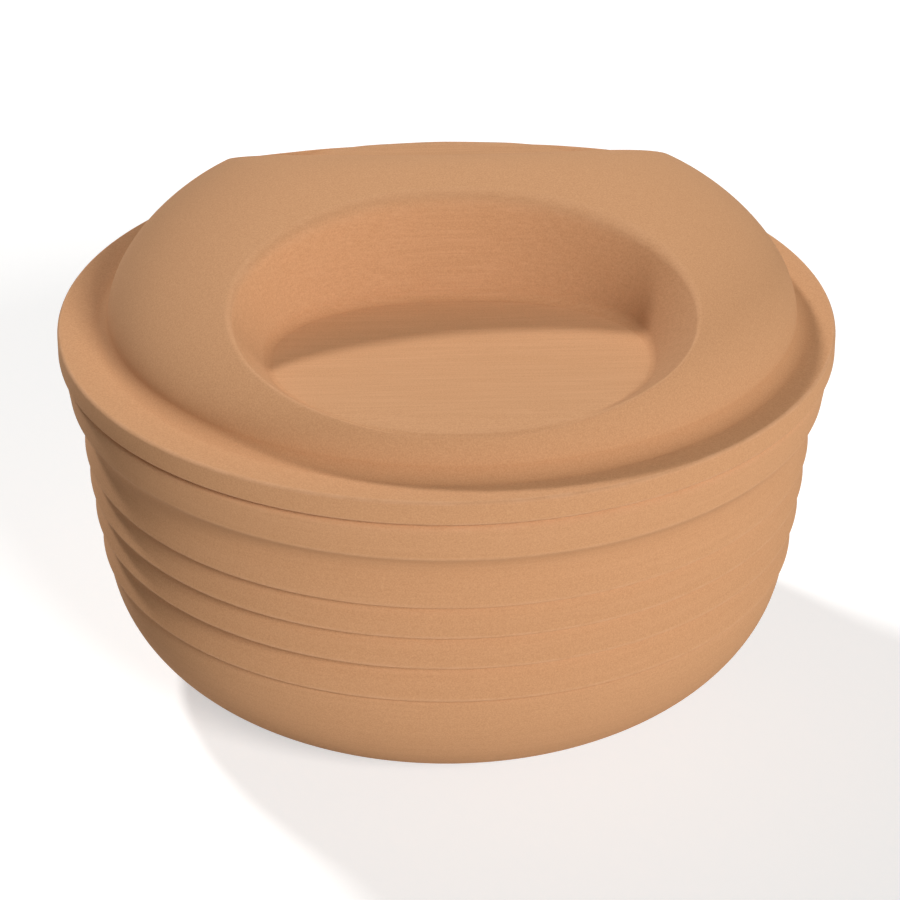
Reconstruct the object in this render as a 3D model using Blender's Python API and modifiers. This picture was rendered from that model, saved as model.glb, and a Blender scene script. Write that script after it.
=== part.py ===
"""Round clay roaster: a bowl with stepped bands and a domed lid whose grip bar is left between two hollows.

Metres, up is +Z, the bowl stands on Z = 0 and the grip bar runs along X.
"""
import math

import bmesh
import bpy
import numpy as np
from mathutils import Matrix

for old in list(bpy.data.objects):
    bpy.data.objects.remove(old, do_unlink=True)

# Sizes of the whole pot
rim_radius = 0.1283
bowl_height = 0.1191
lid_overhang = 0.0017
seat_gap = 0.0003

# Bowl, outside: the collar under the lid with its soft lower corner, then bands that each end in a small
# ledge, then the belly. Depths are measured down from the rim, and insets in from the rim's radius.
rim_width = 0.0145
rim_round = 0.0030
collar_depth = 0.0125
collar_inset = 0.0015
collar_round = 0.0022
collar_turn = 50.0
sweep_power = 4.6
ledge_depths = (0.0335, 0.0453, 0.0573, 0.0707)
ledge_insets = (0.0057, 0.0069, 0.0083, 0.0103)
ledge_step = 0.0016
ledge_round = 0.0007
band_flare = 1.7
belly_fullness = 2.0
base_radius = 0.0600

# Bowl, inside
floor_thickness = 0.0095
inner_fullness = 6.2
inner_drop_power = 3.0
mouth_round = 0.0016

# Lid, outside: a flange, and a dome of revolution under a low roof that gives the grip bar its straight ridge
flange_thickness = 0.0084
flange_edge_round = 0.0012
dome_rise = 0.0593
dome_fullness = 2.17
flank_power = 0.605
cove_radius = 0.0016
roof_rise = 0.0569
roof_slope = 0.358
roof_softness = 0.0029
ridge_softness = 0.0035

# The two hollows beside the grip bar, each open to the flank on its outer side and a little to the right
hollow_centre = 0.0618
hollow_shift = 0.0020
hollow_half_length = 0.0617
hollow_bar_side = 0.0425
hollow_outer_side = 0.0500
hollow_fullness = 2.2
hollow_floor_rise = 0.0158
bar_wall_lean = math.radians(86.0)
outer_wall_lean = math.radians(36.0)
end_lean_difference = math.radians(5.5)
gentlest_facing = -0.45
steepest_facing = 0.90
brow_radius = 0.0046
wall_foot_radius = 0.0042
lip_softness = 0.0006
wall_share_for_rounds = 0.80
tiny = 1e-9

# Lid, underside: the shell, and the ring that drops inside the mouth of the bowl
shell_thickness = 0.0085
flank_thickness = 0.0093
inner_cove_radius = 0.0007
inner_brow_radius = 0.0020
ring_clearance = 0.0016
ring_width = 0.0044
ring_drop = 0.0052
ring_draft = 0.0009

# How finely the surfaces are divided
bowl_spokes = 60
outer_spokes = 32
bar_spokes = 28
top_rings = (3, 3, 2, 3, 10)
under_rings = (2, 3, 1, 2, 4)
turn_weight = 0.11
line_samples = 900

clay_colour = (0.60, 0.335, 0.180, 1.0)
clay_roughness = 0.92


def new_collection(name):
    group = bpy.data.collections.new(name)
    bpy.context.scene.collection.children.link(group)
    return group


def clay_material(name, colour):
    made = bpy.data.materials.new(name)
    made.use_nodes = True
    shader = made.node_tree.nodes["Principled BSDF"]
    shader.inputs["Base Color"].default_value = colour
    shader.inputs["Roughness"].default_value = clay_roughness
    shader.inputs["Metallic"].default_value = 0.0
    made.diffuse_color = colour
    return made


def arc_points(centre, radius, start, end, steps):
    """Points of an arc in the profile plane, from one angle to another in degrees."""
    points = []
    for i in range(steps + 1):
        angle = math.radians(start + (end - start) * i / steps)
        points.append((centre[0] + radius * math.cos(angle), centre[1] + radius * math.sin(angle)))
    return points


pot = new_collection("clay_roaster")

# Bowl: one wall section, from the middle of the inner floor over the rim and down the outside, then turned
mouth_radius = rim_radius - rim_width
inner_depth = bowl_height - floor_thickness
belly_height = bowl_height - ledge_depths[-1]
belly_radius = rim_radius - ledge_insets[-1] - ledge_step

section = [(0.0, floor_thickness)]
for share in (0.35, 0.52, 0.64, 0.74, 0.82, 0.89, 0.94, 0.97):
    drop = (1.0 - share ** inner_fullness) ** (1.0 / inner_drop_power)
    section.append((mouth_radius * share, bowl_height - inner_depth * drop))
section += arc_points((mouth_radius + mouth_round, bowl_height - mouth_round), mouth_round, 180, 90, 2)
section += arc_points((rim_radius - rim_round, bowl_height - rim_round), rim_round, 90, 0, 3)
collar_centre = (rim_radius - collar_inset - collar_round, bowl_height - collar_depth)
section += arc_points(collar_centre, collar_round, 0, -collar_turn, 2)

# Each band leans out to its ledge, turns over a small round and steps in beneath it. The first one starts in
# the sweep that brings the wall in from the collar.
collar_foot, band_top = section[-1]
sweep = collar_foot - (rim_radius - ledge_insets[0] - ledge_step)
shares = (0.13, 0.33, 0.70)
for inset, depth in zip(ledge_insets, ledge_depths):
    ledge_radius = rim_radius - inset
    ledge_height = bowl_height - depth
    span = band_top - ledge_height - ledge_round
    for share in shares:
        lean = ledge_step * (1.0 - share ** band_flare)
        overhang = sweep * (1.0 - share) ** sweep_power
        section.append((ledge_radius - lean + overhang, band_top - span * share))
    section += arc_points((ledge_radius - ledge_round, ledge_height + ledge_round), ledge_round, 0, -90, 2)
    band_top = ledge_height
    sweep = 0.0
    shares = (0.0, 0.35, 0.70)

for share in (0.0, 0.20, 0.38, 0.54, 0.68, 0.80, 0.90, 0.97, 1.0):
    bulge = (1.0 - share ** belly_fullness) ** (1.0 / belly_fullness)
    section.append((base_radius + (belly_radius - base_radius) * bulge, belly_height * (1.0 - share)))
section.append((0.0, 0.0))

bowl_mesh = bpy.data.meshes.new("bowl")
bowl_mesh.from_pydata(
    [(radius, 0.0, height) for radius, height in section],
    [(i, i + 1) for i in range(len(section) - 1)],
    [],
)
bowl = bpy.data.objects.new("bowl", bowl_mesh)
pot.objects.link(bowl)
turning = bowl.modifiers.new("turning", "SCREW")
turning.axis = "Z"
turning.angle = math.tau
turning.steps = bowl_spokes
turning.render_steps = bowl_spokes
turning.use_merge_vertices = True
turning.merge_threshold = 0.0001
turning.use_smooth_shade = True
bowl.data.materials.append(clay_material("bowl_clay", clay_colour))


# Lid: a shell with a skin on both sides. Heights are measured from the top of the flange. Each skin is a
# cover, a dome of revolution under the low roof, with a hollow let into it on either side of the bar.
def positive_part(value, softness):
    return 0.5 * (value + np.sqrt(value * value + 4.0 * softness * softness))


def cover_height(x, y, foot_radius, cove, sink):
    """Height of the cover over its foot, which ends in a cove, with the whole of it lowered by the sink."""
    radius = np.hypot(x, y)
    bulge = np.maximum(1.0 - (radius / foot_radius) ** dome_fullness, 0.0) ** flank_power
    inside_cove = np.clip(foot_radius + cove - radius, 0.0, cove)
    dome = (dome_rise - sink - cove) * bulge + cove - np.sqrt(cove ** 2 - inside_cove ** 2)
    roof = roof_rise - sink + roof_softness - np.hypot(roof_softness, roof_slope * y)
    blend = 2.0 * ridge_softness * np.sqrt(dome / dome_rise)
    return 0.5 * (dome + roof - np.hypot(dome - roof, blend))


def wall_rounds(rise, lean, foot_radius, brow_radius):
    """Radii of the rounds at a drafted wall's foot and brow, made smaller where the wall is low.

    With them, the distances from the hollow's floor at which the foot and then the brow start and end.
    """
    half = np.tan(lean / 2.0)
    room = rise / np.sin(lean) / half
    shrink = np.minimum(1.0, wall_share_for_rounds * room / (foot_radius + brow_radius))
    foot = foot_radius * shrink
    brow = brow_radius * shrink
    corner = rise / np.tan(lean)
    marks = (
        -foot * half,
        foot * half * np.cos(lean),
        corner - brow * half * np.cos(lean),
        corner + brow * half,
    )
    return foot, brow, marks


def wall_height(distance, rise, lean, foot, brow, marks):
    foot_start, foot_end, brow_start, brow_end = marks
    in_foot = foot - np.sqrt(np.maximum(foot ** 2 - (distance - foot_start) ** 2, 0.0))
    in_brow = rise - brow + np.sqrt(np.maximum(brow ** 2 - (distance - brow_end) ** 2, 0.0))
    height = np.tan(lean) * distance
    height = np.where(distance < foot_end, in_foot, height)
    height = np.where(distance < foot_start, 0.0, height)
    height = np.where(distance > brow_start, in_brow, height)
    return np.where(distance > brow_end, rise, height)


def with_hollows(x, y, cover, floor_height, thickness, foot_radius, brow_radius):
    """The cover with the hollows let in, each floor's oval grown as the shell's thickness asks.

    With the height it gives how far a point lies past each of the wall's four marks.
    """
    toward_bar = hollow_centre - np.abs(y)
    half_width = np.where(toward_bar > 0.0, hollow_bar_side, hollow_outer_side)
    along = (np.abs(x - hollow_shift) + tiny) / hollow_half_length
    across = np.abs(toward_bar) / half_width
    reach = (along ** hollow_fullness + across ** hollow_fullness) ** (1.0 / hollow_fullness)
    slope_along = (along / reach) ** (hollow_fullness - 1.0) / hollow_half_length
    slope_across = (across / reach) ** (hollow_fullness - 1.0) / half_width
    outside = (reach - 1.0) / np.hypot(slope_along, slope_across)
    facing = toward_bar / half_width / np.hypot(along, across)
    share = np.clip((facing - gentlest_facing) / (steepest_facing - gentlest_facing), 0.0, 1.0)
    steep = share * share * (3.0 - 2.0 * share)
    toward_right = np.clip((x - hollow_shift) / hollow_half_length, -1.0, 1.0)
    gentle_lean = outer_wall_lean - end_lean_difference * toward_right
    lean = gentle_lean + (bar_wall_lean - gentle_lean) * steep
    distance = outside - thickness * np.tan(lean / 2.0)
    rise = positive_part(cover - floor_height, lip_softness)
    sink = positive_part(floor_height - cover, lip_softness)
    foot, brow, marks = wall_rounds(rise, lean, foot_radius, brow_radius)
    height = floor_height - sink + wall_height(distance, rise, lean, foot, brow, marks)
    return height, [distance - mark for mark in marks]


ring_outer = mouth_radius - ring_clearance
ring_inner = ring_outer - ring_width
inner_foot_radius = ring_inner - inner_cove_radius
dome_foot_radius = inner_foot_radius + flank_thickness


def top_skin(x, y):
    cover = cover_height(x, y, dome_foot_radius, cove_radius, 0.0)
    return with_hollows(x, y, cover, hollow_floor_rise, 0.0, wall_foot_radius, brow_radius)


def under_skin(x, y):
    sink = shell_thickness - flange_thickness
    cover = cover_height(x, y, inner_foot_radius, inner_cove_radius, sink) - flange_thickness
    foot_radius = wall_foot_radius + shell_thickness
    floor_height = hollow_floor_rise - shell_thickness
    return with_hollows(x, y, cover, floor_height, shell_thickness, foot_radius, inner_brow_radius)


# Half of each skin is laid out on straight spokes from the middle of a hollow to the dome's foot and to the
# middle line of the bar. Rings of points follow the hollow's foot, wall and brow. The half is then mirrored.
def shares_along(skin, start, end, first, count):
    """Shares of the way along a line on a skin, from the first on, closer where it is steep or turns."""
    samples = np.linspace(first, 1.0, line_samples)
    x = start[0] + (end[0] - start[0]) * samples
    y = start[1] + (end[1] - start[1]) * samples
    run = np.hypot(np.diff(x), np.diff(y))
    lift = np.diff(skin(x, y)[0])
    angle = np.arctan2(lift, run)
    turn = np.abs(np.diff(angle, prepend=angle[0]))
    step = np.hypot(run, lift) / lid_radius + turn_weight * turn
    measure = np.concatenate([[0.0], np.cumsum(step)])
    return np.interp(np.linspace(0.0, measure[-1], count + 1), measure, samples)


def ring_shares(skin, start, end, rings):
    """Shares of the way along a spoke at which its rings stand, with a count of rings for each stretch."""
    samples = np.linspace(0.0, 1.0, line_samples)
    x = start[0] + (end[0] - start[0]) * samples
    y = start[1] + (end[1] - start[1]) * samples
    stops = [0.0] + [float(np.interp(0.0, past, samples)) for past in skin(x, y)[1]]
    shares = [0.0]
    for first, last, count in zip(stops, stops[1:], rings):
        shares += [first + (last - first) * (i + 1) / count for i in range(count)]
    return shares + list(shares_along(skin, start, end, stops[-1], rings[-1])[1:])


def rim_point(spoke, radius):
    angle = -math.pi * spoke / outer_spokes
    return radius * math.cos(angle), radius * math.sin(angle)


def lay_grid(mesh, columns, rows, place):
    """Lay a grid of quads so that every crossing of a column and a row stands at its own place."""
    made = bmesh.ops.create_grid(mesh, x_segments=columns, y_segments=rows, size=1.0)
    for point in made["verts"]:
        column = round((point.co.x + 1.0) / 2.0 * columns)
        row = round((point.co.y + 1.0) / 2.0 * rows)
        point.co = place(column, row)


def lay_skin(mesh, skin, outer, rings):
    middle = (hollow_shift, -hollow_centre)
    ends = [rim_point(spoke, outer) for spoke in range(outer_spokes + 1)]
    bar_line = shares_along(skin, (-outer, 0.0), (outer, 0.0), 0.0, bar_spokes)
    ends += [(outer * (2.0 * share - 1.0), 0.0) for share in bar_line[1:]]
    spacing = [ring_shares(skin, middle, end, rings) for end in ends]

    def place(spoke, ring):
        share = spacing[spoke][ring]
        x = middle[0] + (ends[spoke][0] - middle[0]) * share
        y = middle[1] + (ends[spoke][1] - middle[1]) * share
        return x, y, flange_top + float(skin(x, y)[0])

    lay_grid(mesh, outer_spokes + bar_spokes, sum(rings), place)


lid_radius = rim_radius + lid_overhang
flange_top = bowl_height + seat_gap + flange_thickness
half = bmesh.new()
lay_skin(half, top_skin, dome_foot_radius, top_rings)
lay_skin(half, under_skin, inner_foot_radius, under_rings)

# Between the two skins: the cove, the flange with its rounded edge, and the ring that keeps the lid in place
edge = flange_edge_round
edge_section = arc_points((dome_foot_radius + cove_radius, cove_radius), cove_radius, 180, 270, 3)
edge_section += [(0.5 * (dome_foot_radius + cove_radius + lid_radius), 0.0)]
edge_section += arc_points((lid_radius - edge, -edge), edge, 90, 0, 2)
edge_section += arc_points((lid_radius - edge, edge - flange_thickness), edge, 0, -90, 2)
edge_section += [
    (ring_outer, -flange_thickness),
    (ring_outer - ring_draft, -flange_thickness - ring_drop),
    (ring_inner + ring_draft, -flange_thickness - ring_drop),
    (ring_inner, -flange_thickness),
    (inner_foot_radius, inner_cove_radius - flange_thickness),
]


def place_on_edge(spoke, row):
    radius, height = edge_section[row]
    x, y = rim_point(spoke, radius)
    if row == 0:
        height = float(top_skin(x, y)[0])
    if row == len(edge_section) - 1:
        height = float(under_skin(x, y)[0])
    return x, y, flange_top + height


lay_grid(half, outer_spokes, len(edge_section) - 1, place_on_edge)
bmesh.ops.remove_doubles(half, verts=half.verts, dist=0.00001)
everything = half.verts[:] + half.edges[:] + half.faces[:]
bmesh.ops.mirror(half, geom=everything, matrix=Matrix.Identity(4), merge_dist=0.00001, axis="Y")
bmesh.ops.recalc_face_normals(half, faces=half.faces)
bmesh.ops.triangulate(half, faces=half.faces, quad_method="SHORT_EDGE")
for face in half.faces:
    face.smooth = True
lid_mesh = bpy.data.meshes.new("lid")
half.to_mesh(lid_mesh)
half.free()
lid = bpy.data.objects.new("lid", lid_mesh)
pot.objects.link(lid)
lid.data.materials.append(clay_material("lid_clay", clay_colour))
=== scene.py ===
import math

import bmesh
import bpy
import numpy as np
from mathutils import Matrix, Vector


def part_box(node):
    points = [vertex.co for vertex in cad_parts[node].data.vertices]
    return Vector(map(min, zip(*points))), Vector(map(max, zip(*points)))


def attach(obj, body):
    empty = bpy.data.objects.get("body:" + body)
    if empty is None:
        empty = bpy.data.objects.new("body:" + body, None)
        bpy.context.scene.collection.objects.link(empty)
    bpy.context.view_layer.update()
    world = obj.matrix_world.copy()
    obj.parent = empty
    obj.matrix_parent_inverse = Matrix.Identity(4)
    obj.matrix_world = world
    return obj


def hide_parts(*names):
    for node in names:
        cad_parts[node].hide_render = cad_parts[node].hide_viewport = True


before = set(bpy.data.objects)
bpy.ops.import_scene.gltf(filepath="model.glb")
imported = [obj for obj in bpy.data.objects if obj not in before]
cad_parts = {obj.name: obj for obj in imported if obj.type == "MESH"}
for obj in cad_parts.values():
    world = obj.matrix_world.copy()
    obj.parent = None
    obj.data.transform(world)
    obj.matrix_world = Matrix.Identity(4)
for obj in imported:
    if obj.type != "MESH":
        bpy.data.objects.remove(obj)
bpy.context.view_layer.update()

# Bowl. The real one is a single piece of brick-coloured clay, formed in a plaster mould that gives it a
# plain collar under the lid, four bands that each end in a small ledge, and a rounded belly. It is fired
# once and left unglazed, so that it can soak up water before it goes into the oven.
bowl_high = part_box("bowl")[1]
bowl_height = bowl_high.z
rim_radius = bowl_high.x
rim_width = 0.0145
rim_round = 0.0030
collar_depth = 0.0125
collar_inset = 0.0015
collar_round = 0.0022
collar_turn = 50.0
sweep_power = 4.6
ledge_depths = (0.0335, 0.0453, 0.0573, 0.0707)
ledge_insets = (0.0057, 0.0069, 0.0083, 0.0103)
ledge_step = 0.0016
ledge_round = 0.0007
band_flare = 1.7
belly_fullness = 2.0
base_radius = 0.0600
floor_thickness = 0.0095
inner_fullness = 6.2
inner_drop_power = 3.0
mouth_round = 0.0016
mouth_radius = rim_radius - rim_width

bowl_spokes = 360
band_steps = 20
belly_steps = 56
inner_steps = 56
round_steps = 6
wear_radius = 0.0012
finest_span = 0.3 * wear_radius


def arc_points(centre, radius, start, end, steps):
    """Points of an arc in the profile plane, from one angle to another in degrees."""
    points = []
    for i in range(steps + 1):
        angle = math.radians(start + (end - start) * i / steps)
        points.append((centre[0] + radius * math.cos(angle), centre[1] + radius * math.sin(angle)))
    return points


def mark_arrises(mesh):
    """Note at every corner how tightly the surface bends, 1 on an outer edge and -1 in an inner corner."""
    layer = mesh.verts.layers.float.new("arris")
    for edge in mesh.edges:
        one, other = edge.link_faces
        apart = (one.calc_center_median() - other.calc_center_median()).length
        bend = edge.calc_face_angle_signed() * wear_radius / max(apart, finest_span)
        bend = max(-1.0, min(1.0, bend))
        for corner in edge.verts:
            if abs(bend) > abs(corner[layer]):
                corner[layer] = bend


def finish_piece(mesh, name, material, body, node):
    """Make the bmesh a smooth object with its material, riding on its body in place of its CAD node."""
    mark_arrises(mesh)
    for face in mesh.faces:
        face.smooth = True
    data = bpy.data.meshes.new(name)
    mesh.to_mesh(data)
    mesh.free()
    data.materials.append(material)
    piece = bpy.data.objects.new(name, data)
    bpy.context.scene.collection.objects.link(piece)
    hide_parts(node)
    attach(piece, body)


def linear(code):
    """A #rrggbb colour turned from sRGB to linear light, with an alpha of 1."""
    channels = [int(code[i:i + 2], 16) / 255.0 for i in (1, 3, 5)]
    return [c / 12.92 if c <= 0.04045 else ((c + 0.055) / 1.055) ** 2.4 for c in channels] + [1.0]


def add(tree, kind, settings=None, links=None):
    """Add a node: settings are its own values or, by socket name or number, constants; links are sockets."""
    node = tree.nodes.new(kind)
    for key, value in (settings or {}).items():
        if isinstance(key, str) and hasattr(node, key):
            setattr(node, key, value)
        else:
            node.inputs[key].default_value = value
    for key, socket in (links or {}).items():
        tree.links.new(socket, node.inputs[key])
    return node


# The clay is a fine earthenware with sand in it, pressed, sponged smooth while damp and fired without glaze.
# To the eye it is dead matt and even, with a fine pale grain of sand, outer edges rubbed pale in handling
# and faint lines where a tool was drawn over the damp clay. The pale of the outer edges is also a painted
# highlight, and the inner corners get a painted shade, darker and warmer. The real sand is a third of a
# millimetre, and it is drawn half as coarse again so that it shows.
sand_size = 0.0005
wear_patch_size = 0.0070
clay_tone = "#cf9d71"
# Pale of outer edges rubbed in handling, which also serves as a painted highlight
rub_and_highlight_tone = "#e0b08a"
# Painted shade: a darker, warmer brown laid into the inner corners
corner_shade_tone = "#b97848"
sand_dark = "#c0885c"
sand_light = "#e0ac81"
tool_light = "#deaa80"
clay_roughness = 0.93
sand_share = 0.45
least_rub_and_highlight = 0.12
most_rub_and_highlight = 0.38
corner_shade_strength = 0.6
sand_relief = 0.00010
stroke_relief = 0.00012


def fired_clay(name, stroke, stroke_strength, where=None):
    """Unglazed earthenware. A stroke is the length along X, Y and Z of the lines that the tool left."""
    material = bpy.data.materials.new(name)
    material.use_nodes = True
    tree = material.node_tree
    shader = tree.nodes["Principled BSDF"]
    shader.inputs["Roughness"].default_value = clay_roughness
    shader.inputs["Diffuse Roughness"].default_value = 0.3
    shader.inputs["Specular IOR Level"].default_value = 0.25
    place = add(tree, "ShaderNodeTexCoord").outputs["Object"]

    grains = add(tree, "ShaderNodeTexNoise", {"Scale": 1.0 / sand_size, "Detail": 2.0, "Roughness": 0.6},
                 {"Vector": place})
    sand = add(tree, "ShaderNodeMapRange", {"From Min": 0.30, "From Max": 0.70},
               {"Value": grains.outputs["Fac"]})
    sanded = add(tree, "ShaderNodeMix", {"data_type": "RGBA", 6: linear(sand_dark), 7: linear(sand_light)},
                 {0: sand.outputs["Result"]})
    tone = add(tree, "ShaderNodeMix", {"data_type": "RGBA", 0: sand_share, 6: linear(clay_tone)},
               {7: sanded.outputs[2]})

    # Lines of the tool: noise drawn out along the stroke
    per_metre = [1.0 / length for length in stroke]
    drawn_out = add(tree, "ShaderNodeMapping", {"Scale": per_metre}, {"Vector": place})
    strokes = add(tree, "ShaderNodeTexNoise", {"Scale": 1.0, "Detail": 3.0, "Roughness": 0.65},
                  {"Vector": drawn_out.outputs["Vector"]})
    stroke_share = add(tree, "ShaderNodeMapRange",
                       {"From Min": 0.42, "From Max": 0.72, "To Max": stroke_strength},
                       {"Value": strokes.outputs["Fac"]}).outputs["Result"]
    if where:
        mask = add(tree, "ShaderNodeAttribute", {"attribute_name": where})
        stroke_share = add(tree, "ShaderNodeMath", {"operation": "MULTIPLY"},
                           {0: stroke_share, 1: mask.outputs["Fac"]}).outputs["Value"]
    worked = add(tree, "ShaderNodeMix", {"data_type": "RGBA", 7: linear(tool_light)},
                 {0: stroke_share, 6: tone.outputs[2]})

    # Outer edges rubbed pale, a little unevenly, which also paints a highlight on them, and inner corners
    # given a painted shade, darker and warmer
    arris = add(tree, "ShaderNodeAttribute", {"attribute_name": "arris"})
    patches = add(tree, "ShaderNodeTexNoise", {"Scale": 1.0 / wear_patch_size, "Detail": 3.0},
                  {"Vector": place})
    uneven = add(tree, "ShaderNodeMapRange",
                 {"From Min": 0.35, "From Max": 0.60, "To Min": least_rub_and_highlight, "To Max": most_rub_and_highlight},
                 {"Value": patches.outputs["Fac"]})
    # The pale on outer edges is rubbed wear and also a painted highlight
    rub_and_highlight = add(tree, "ShaderNodeMath", {"operation": "MULTIPLY", "use_clamp": True},
                 {0: arris.outputs["Fac"], 1: uneven.outputs["Result"]})
    rubbed_and_highlit = add(tree, "ShaderNodeMix", {"data_type": "RGBA", 7: linear(rub_and_highlight_tone)},
                 {0: rub_and_highlight.outputs["Value"], 6: worked.outputs[2]})
    # Painted shade: inner corners, where the bend is negative, darkened to the warm brown
    inner = add(tree, "ShaderNodeMath", {"operation": "MULTIPLY", "use_clamp": True, 1: -corner_shade_strength},
                {0: arris.outputs["Fac"]})
    corner_shaded = add(tree, "ShaderNodeMix", {"data_type": "RGBA", 7: linear(corner_shade_tone)},
                 {0: inner.outputs["Value"], 6: rubbed_and_highlit.outputs[2]})
    tree.links.new(corner_shaded.outputs[2], shader.inputs["Base Color"])

    bump = add(tree, "ShaderNodeBump", {"Strength": 0.5, "Distance": sand_relief},
               {"Height": grains.outputs["Fac"]})
    scored = add(tree, "ShaderNodeBump", {"Strength": 0.4, "Distance": stroke_relief},
                 {"Height": stroke_share, "Normal": bump.outputs["Normal"]})
    tree.links.new(scored.outputs["Normal"], shader.inputs["Normal"])
    return material


# One wall section, from the middle of the inner floor over the rim and down the outside, is turned
inner_depth = bowl_height - floor_thickness
belly_height = bowl_height - ledge_depths[-1]
belly_radius = rim_radius - ledge_insets[-1] - ledge_step

section = [(0.0, floor_thickness)]
for i in range(1, inner_steps):
    share = math.sin(0.5 * math.pi * i / inner_steps)
    drop = (1.0 - share ** inner_fullness) ** (1.0 / inner_drop_power)
    section.append((mouth_radius * share, bowl_height - inner_depth * drop))
mouth_centre = (mouth_radius + mouth_round, bowl_height - mouth_round)
section += arc_points(mouth_centre, mouth_round, 180, 90, round_steps)
section += arc_points((rim_radius - rim_round, bowl_height - rim_round), rim_round, 90, 0, round_steps)
collar_centre = (rim_radius - collar_inset - collar_round, bowl_height - collar_depth)
section += arc_points(collar_centre, collar_round, 0, -collar_turn, round_steps)

# Each band leans out to its ledge, turns over a small round and steps in beneath it. The first one starts in
# the sweep that brings the wall in from the collar.
collar_foot, band_top = section[-1]
sweep = collar_foot - (rim_radius - ledge_insets[0] - ledge_step)
first_step = 1
for inset, depth in zip(ledge_insets, ledge_depths):
    ledge_radius = rim_radius - inset
    ledge_height = bowl_height - depth
    span = band_top - ledge_height - ledge_round
    for i in range(first_step, band_steps):
        share = i / band_steps
        lean = ledge_step * (1.0 - share ** band_flare)
        overhang = sweep * (1.0 - share) ** sweep_power
        section.append((ledge_radius - lean + overhang, band_top - span * share))
    corner_centre = (ledge_radius - ledge_round, ledge_height + ledge_round)
    section += arc_points(corner_centre, ledge_round, 0, -90, round_steps)
    band_top = ledge_height
    sweep = 0.0
    first_step = 0
for i in range(belly_steps + 1):
    share = math.sin(0.5 * math.pi * i / belly_steps)
    bulge = (1.0 - share ** belly_fullness) ** (1.0 / belly_fullness)
    section.append((base_radius + (belly_radius - base_radius) * bulge, belly_height * (1.0 - share)))
section.append((0.0, 0.0))

bowl_mesh = bmesh.new()
corners = [bowl_mesh.verts.new((radius, 0.0, height)) for radius, height in section]
line = [bowl_mesh.edges.new(pair) for pair in zip(corners, corners[1:])]
bmesh.ops.spin(bowl_mesh, geom=corners + line, cent=(0, 0, 0), axis=(0, 0, 1), dvec=(0, 0, 0),
               angle=math.tau, steps=bowl_spokes, use_merge=True, use_duplicate=False)
bmesh.ops.remove_doubles(bowl_mesh, verts=bowl_mesh.verts, dist=0.00001)
bmesh.ops.recalc_face_normals(bowl_mesh, faces=bowl_mesh.faces)

# Sponged on the wheel: the lines run round the pot, so they are long across and short in height
turning_stroke = (0.060, 0.060, 0.0012)
turning_strength = 0.22
sponged_clay = fired_clay("sponged_unglazed_earthenware", turning_stroke, turning_strength)
finish_piece(bowl_mesh, "fired_bowl", sponged_clay, "bowl", "bowl")

# Lid. One piece of the same clay, pressed between two mould halves: a flat flange, a shallow dome, and in it
# two oval hollows that leave a bar to grip between them. A ring under the flange keeps the lid in place.
lid_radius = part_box("lid")[1].x
seat_gap = 0.0003
flange_thickness = 0.0084
flange_edge_round = 0.0012
dome_rise = 0.0593
dome_fullness = 2.17
flank_power = 0.605
cove_radius = 0.0048
foot_inset = 0.0015
dome_shift = 0.0020
skin_margin = 0.0070
roof_rise = 0.0569
roof_slope = 0.358
roof_softness = 0.0029
ridge_softness = 0.0035
hollow_centre = 0.0618
hollow_shift = 0.0020
hollow_half_length = 0.0617
hollow_bar_side = 0.0425
hollow_outer_side = 0.0500
hollow_fullness = 2.2
hollow_floor_rise = 0.0158
bar_wall_lean = math.radians(86.0)
outer_wall_lean = math.radians(36.0)
end_lean_difference = math.radians(5.5)
gentlest_facing = -0.45
steepest_facing = 0.90
brow_radius = 0.0046
wall_foot_radius = 0.0042
lip_softness = 0.0011
wall_share_for_rounds = 0.80
tiny = 1e-9
shell_thickness = 0.0085
flank_thickness = 0.0093
inner_cove_radius = 0.0007
inner_brow_radius = 0.0020
ring_clearance = 0.0016
ring_width = 0.0044
ring_drop = 0.0052
ring_draft = 0.0009
ring_round = 0.0008
ring_round_steps = 4
ring_outer = mouth_radius - ring_clearance
ring_inner = ring_outer - ring_width
inner_foot_radius = ring_inner - inner_cove_radius
dome_foot_radius = inner_foot_radius + flank_thickness
flange_top = bowl_height + seat_gap + flange_thickness

outer_spokes = 128
bar_spokes = 112
top_rings = (14, 10, 16, 14, 40)
under_rings = (8, 12, 8, 8, 20)
turn_weight = 0.11
line_samples = 900


def positive_part(value, softness):
    return 0.5 * (value + np.sqrt(value * value + 4.0 * softness * softness))


def cover_height(x, y, foot_radius, cove, sink):
    """Height of the dome under the low roof that gives the bar its ridge, sunk for the inner skin."""
    radius = np.hypot(x, y)
    bulge = np.maximum(1.0 - (radius / foot_radius) ** dome_fullness, 0.0) ** flank_power
    inside_cove = np.clip(foot_radius + cove - radius, 0.0, cove)
    dome = (dome_rise - sink - cove) * bulge + cove - np.sqrt(cove ** 2 - inside_cove ** 2)
    roof = roof_rise - sink + roof_softness - np.hypot(roof_softness, roof_slope * y)
    blend = 2.0 * ridge_softness * np.sqrt(dome / dome_rise)
    return 0.5 * (dome + roof - np.hypot(dome - roof, blend))


def wall_rounds(rise, lean, foot_radius, brow_radius):
    """Radii of the rounds at a drafted wall's foot and brow, made smaller where the wall is low.

    With them, the distances from the hollow's floor at which the foot and then the brow start and end.
    """
    half = np.tan(lean / 2.0)
    room = rise / np.sin(lean) / half
    shrink = np.minimum(1.0, wall_share_for_rounds * room / (foot_radius + brow_radius))
    foot = foot_radius * shrink
    brow = brow_radius * shrink
    corner = rise / np.tan(lean)
    marks = (
        -foot * half,
        foot * half * np.cos(lean),
        corner - brow * half * np.cos(lean),
        corner + brow * half,
    )
    return foot, brow, marks


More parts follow.
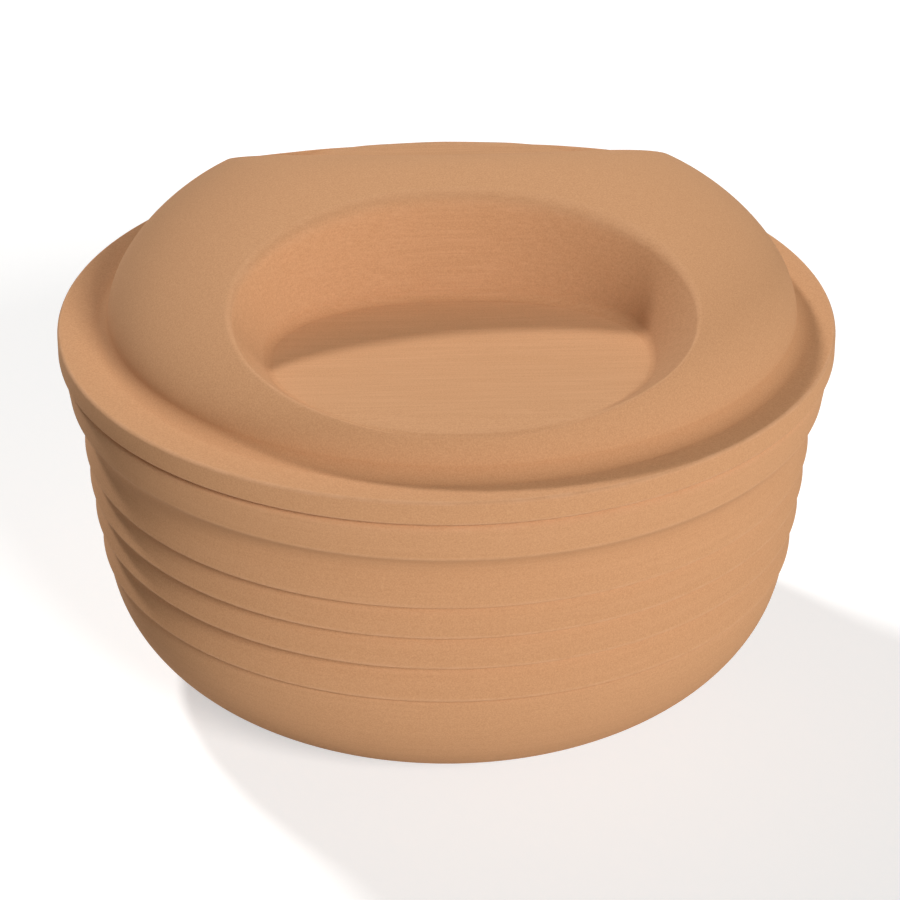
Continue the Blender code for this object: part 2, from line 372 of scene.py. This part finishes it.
def wall_height(distance, rise, lean, foot, brow, marks):
    foot_start, foot_end, brow_start, brow_end = marks
    in_foot = foot - np.sqrt(np.maximum(foot ** 2 - (distance - foot_start) ** 2, 0.0))
    in_brow = rise - brow + np.sqrt(np.maximum(brow ** 2 - (distance - brow_end) ** 2, 0.0))
    height = np.tan(lean) * distance
    height = np.where(distance < foot_end, in_foot, height)
    height = np.where(distance < foot_start, 0.0, height)
    height = np.where(distance > brow_start, in_brow, height)
    return np.where(distance > brow_end, rise, height)


def with_hollows(x, y, cover, floor_height, thickness, foot_radius, brow_radius):
    """The cover with the hollows let in, and how far a point lies past each of the wall's four marks."""
    toward_bar = hollow_centre - np.abs(y)
    half_width = np.where(toward_bar > 0.0, hollow_bar_side, hollow_outer_side)
    along = (np.abs(x - hollow_shift) + tiny) / hollow_half_length
    across = np.abs(toward_bar) / half_width
    reach = (along ** hollow_fullness + across ** hollow_fullness) ** (1.0 / hollow_fullness)
    slope_along = (along / reach) ** (hollow_fullness - 1.0) / hollow_half_length
    slope_across = (across / reach) ** (hollow_fullness - 1.0) / half_width
    outside = (reach - 1.0) / np.hypot(slope_along, slope_across)
    facing = toward_bar / half_width / np.hypot(along, across)
    share = np.clip((facing - gentlest_facing) / (steepest_facing - gentlest_facing), 0.0, 1.0)
    steep = share * share * (3.0 - 2.0 * share)
    toward_right = np.clip((x - hollow_shift) / hollow_half_length, -1.0, 1.0)
    gentle_lean = outer_wall_lean - end_lean_difference * toward_right
    lean = gentle_lean + (bar_wall_lean - gentle_lean) * steep
    distance = outside - thickness * np.tan(lean / 2.0)
    rise = positive_part(cover - floor_height, lip_softness)
    sink = positive_part(floor_height - cover, lip_softness)
    foot, brow, marks = wall_rounds(rise, lean, foot_radius, brow_radius)
    height = floor_height - sink + wall_height(distance, rise, lean, foot, brow, marks)
    return height, [distance - mark for mark in marks]


def top_skin(x, y):
    cover = cover_height(x - dome_shift, y, dome_foot_radius - foot_inset, cove_radius, 0.0)
    return with_hollows(x, y, cover, hollow_floor_rise, 0.0, wall_foot_radius, brow_radius)


def under_skin(x, y):
    sink = shell_thickness - flange_thickness
    cover = cover_height(x, y, inner_foot_radius, inner_cove_radius, sink) - flange_thickness
    foot_radius = wall_foot_radius + shell_thickness
    floor_height = hollow_floor_rise - shell_thickness
    return with_hollows(x, y, cover, floor_height, shell_thickness, foot_radius, inner_brow_radius)


def shares_along(skin, start, end, first, count):
    """Shares of the way along a line on a skin, from the first on, closer where it is steep or turns."""
    samples = np.linspace(first, 1.0, line_samples)
    x = start[0] + (end[0] - start[0]) * samples
    y = start[1] + (end[1] - start[1]) * samples
    run = np.hypot(np.diff(x), np.diff(y))
    lift = np.diff(skin(x, y)[0])
    angle = np.arctan2(lift, run)
    turn = np.abs(np.diff(angle, prepend=angle[0]))
    step = np.hypot(run, lift) / lid_radius + turn_weight * turn
    measure = np.concatenate([[0.0], np.cumsum(step)])
    return np.interp(np.linspace(0.0, measure[-1], count + 1), measure, samples)


def ring_shares(skin, start, end, rings):
    """Shares of the way along a spoke at which its rings stand, with a count of rings for each stretch."""
    samples = np.linspace(0.0, 1.0, line_samples)
    x = start[0] + (end[0] - start[0]) * samples
    y = start[1] + (end[1] - start[1]) * samples
    stops = [0.0] + [float(np.interp(0.0, past, samples)) for past in skin(x, y)[1]]
    shares = [0.0]
    for first, last, count in zip(stops, stops[1:], rings):
        shares += [first + (last - first) * (i + 1) / count for i in range(count)]
    return shares + list(shares_along(skin, start, end, stops[-1], rings[-1])[1:])


def rim_point(spoke, radius):
    angle = -math.pi * spoke / outer_spokes
    return radius * math.cos(angle), radius * math.sin(angle)


def lay_grid(mesh, columns, rows, place):
    """Lay a grid of quads so that every crossing of a column and a row stands at its own place."""
    made = bmesh.ops.create_grid(mesh, x_segments=columns, y_segments=rows, size=1.0)
    for point in made["verts"]:
        column = round((point.co.x + 1.0) / 2.0 * columns)
        row = round((point.co.y + 1.0) / 2.0 * rows)
        point.co = place(column, row)


def lay_skin(mesh, skin, outer, rings):
    middle = (hollow_shift, -hollow_centre)
    ends = [rim_point(spoke, outer) for spoke in range(outer_spokes + 1)]
    bar_line = shares_along(skin, (-outer, 0.0), (outer, 0.0), 0.0, bar_spokes)
    ends += [(outer * (2.0 * share - 1.0), 0.0) for share in bar_line[1:]]
    spokes = []
    for end in ends:
        share = np.array(ring_shares(skin, middle, end, rings))
        x = middle[0] + (end[0] - middle[0]) * share
        y = middle[1] + (end[1] - middle[1]) * share
        spokes.append(np.stack([x, y, flange_top + skin(x, y)[0]], axis=1))
    lay_grid(mesh, outer_spokes + bar_spokes, sum(rings), lambda spoke, ring: spokes[spoke][ring])


lid_mesh = bmesh.new()
skin_radius = dome_foot_radius + skin_margin
lay_skin(lid_mesh, top_skin, skin_radius, top_rings)
lay_skin(lid_mesh, under_skin, inner_foot_radius, under_rings)

edge = flange_edge_round
edge_section = [(skin_radius, 0.0)]
edge_section += arc_points((lid_radius - edge, -edge), edge, 90, 0, round_steps)
edge_section += arc_points((lid_radius - edge, edge - flange_thickness), edge, 0, -90, round_steps)
ring_foot = -flange_thickness - ring_drop
edge_section += [(ring_outer, -flange_thickness)]
outer_corner = (ring_outer - ring_draft - ring_round, ring_foot + ring_round)
inner_corner = (ring_inner + ring_draft + ring_round, ring_foot + ring_round)
edge_section += arc_points(outer_corner, ring_round, 0, -90, ring_round_steps)
edge_section += arc_points(inner_corner, ring_round, -90, -180, ring_round_steps)
edge_section += [(ring_inner, -flange_thickness), (inner_foot_radius, inner_cove_radius - flange_thickness)]


def place_on_edge(spoke, row):
    radius, height = edge_section[row]
    x, y = rim_point(spoke, radius)
    if row == 0:
        height = float(top_skin(x, y)[0])
    if row == len(edge_section) - 1:
        height = float(under_skin(x, y)[0])
    return x, y, flange_top + height


lay_grid(lid_mesh, outer_spokes, len(edge_section) - 1, place_on_edge)
bmesh.ops.remove_doubles(lid_mesh, verts=lid_mesh.verts, dist=0.000001)
everything = lid_mesh.verts[:] + lid_mesh.edges[:] + lid_mesh.faces[:]
bmesh.ops.mirror(lid_mesh, geom=everything, matrix=Matrix.Identity(4), merge_dist=0.000001, axis="Y")
bmesh.ops.recalc_face_normals(lid_mesh, faces=lid_mesh.faces)

# Scraped: a rib was drawn from side to side over the floors and walls of the hollows, as far as the brow.
# The layer holds 1 there and runs out over the brow's round. The height keeps it off the floors' underside.
scraping_stroke = (0.030, 0.0010, 0.0010)
scraping_strength = 0.45
spots = np.array([tuple(corner.co) for corner in lid_mesh.verts])
past_brow = top_skin(spots[:, 0], spots[:, 1])[1][3]
on_top = spots[:, 2] - flange_top > hollow_floor_rise - 0.5 * shell_thickness
scraped_layer = lid_mesh.verts.layers.float.new("scraped")
for corner, share in zip(lid_mesh.verts, np.clip(-past_brow / brow_radius, 0.0, 1.0) * on_top):
    corner[scraped_layer] = share
scraped_clay = fired_clay("scraped_unglazed_earthenware", scraping_stroke, scraping_strength, "scraped")
finish_piece(lid_mesh, "fired_lid", scraped_clay, "lid", "lid")

# Floor. A matt table top, pale grey so that it sends little light back up at the pot. A glow that only the
# camera sees lifts it to white wherever nothing shades it.
floor_half = 6.0
floor_glow = 0.55
floor_mesh = bmesh.new()
bmesh.ops.create_grid(floor_mesh, x_segments=1, y_segments=1, size=floor_half)
floor_data = bpy.data.meshes.new("floor")
floor_mesh.to_mesh(floor_data)
floor_mesh.free()
floor = bpy.data.objects.new("floor", floor_data)
bpy.context.scene.collection.objects.link(floor)
table = bpy.data.materials.new("matt_grey_board")
table.use_nodes = True
table_shader = table.node_tree.nodes["Principled BSDF"]
table_shader.inputs["Base Color"].default_value = linear("#d2d1cf")
table_shader.inputs["Roughness"].default_value = 0.9
table_shader.inputs["Emission Color"].default_value = (1.0, 1.0, 1.0, 1.0)
lifted = add(table.node_tree, "ShaderNodeMath", {"operation": "MULTIPLY", 1: floor_glow},
             {0: add(table.node_tree, "ShaderNodeLightPath").outputs["Is Camera Ray"]})
table.node_tree.links.new(lifted.outputs["Value"], table_shader.inputs["Emission Strength"])
floor.data.materials.append(table)

# Light. A lamp behind the pot on the left, small enough to throw the bar's shadow on the hollow's floor,
# and a wide soft lamp low in front and a little to the right. The surround is white to the camera and gives
# the pot almost no light.
lamp_distance = 3.0
pot_middle = Vector((0.0, 0.0, 0.1))
sky_on_pot = 0.02


def lamp(name, toward, energy, width):
    """A sun that stands toward a direction from the pot, with its width in degrees as the pot sees it."""
    data = bpy.data.lights.new(name, "SUN")
    data.energy = energy
    data.angle = math.radians(width)
    made = bpy.data.objects.new(name, data)
    bpy.context.scene.collection.objects.link(made)
    direction = Vector(toward).normalized()
    made.location = pot_middle + direction * lamp_distance
    made.rotation_euler = direction.to_track_quat("Z", "Y").to_euler()


lamp("key", (-0.46, 0.57, 0.68), energy=2.40, width=7.0)
lamp("fill", (0.43, -0.79, 0.44), energy=2.68, width=20.0)
world = bpy.data.worlds.new("surround")
bpy.context.scene.world = world
world.use_nodes = True
surround = world.node_tree
to_camera = add(surround, "ShaderNodeLightPath")
backdrop = surround.nodes["Background"]
backdrop.inputs["Color"].default_value = (1.0, 1.0, 1.0, 1.0)
seen_or_not = add(surround, "ShaderNodeMapRange", {"To Min": sky_on_pot, "To Max": 1.0},
                  {"Value": to_camera.outputs["Is Camera Ray"]})
surround.links.new(seen_or_not.outputs["Result"], backdrop.inputs["Strength"])

# Camera, at the photograph's angle: a long lens from a little left of the middle
camera_azimuth = math.radians(-2.4)
camera_elevation = math.radians(28.34)
camera_distance = 1.30
aim_point = Vector((0.0012, 0.0, 0.0760))
camera_data = bpy.data.cameras.new("camera")
camera_data.lens = 152.2
camera_data.sensor_width = 36.0
camera = bpy.data.objects.new("camera", camera_data)
bpy.context.scene.collection.objects.link(camera)
back = Vector((
    math.sin(camera_azimuth) * math.cos(camera_elevation),
    -math.cos(camera_azimuth) * math.cos(camera_elevation),
    math.sin(camera_elevation),
))
camera.location = aim_point + back * camera_distance
camera.rotation_euler = back.to_track_quat("Z", "Y").to_euler()
bpy.context.scene.camera = camera
bpy.context.scene.view_settings.view_transform = "Standard"
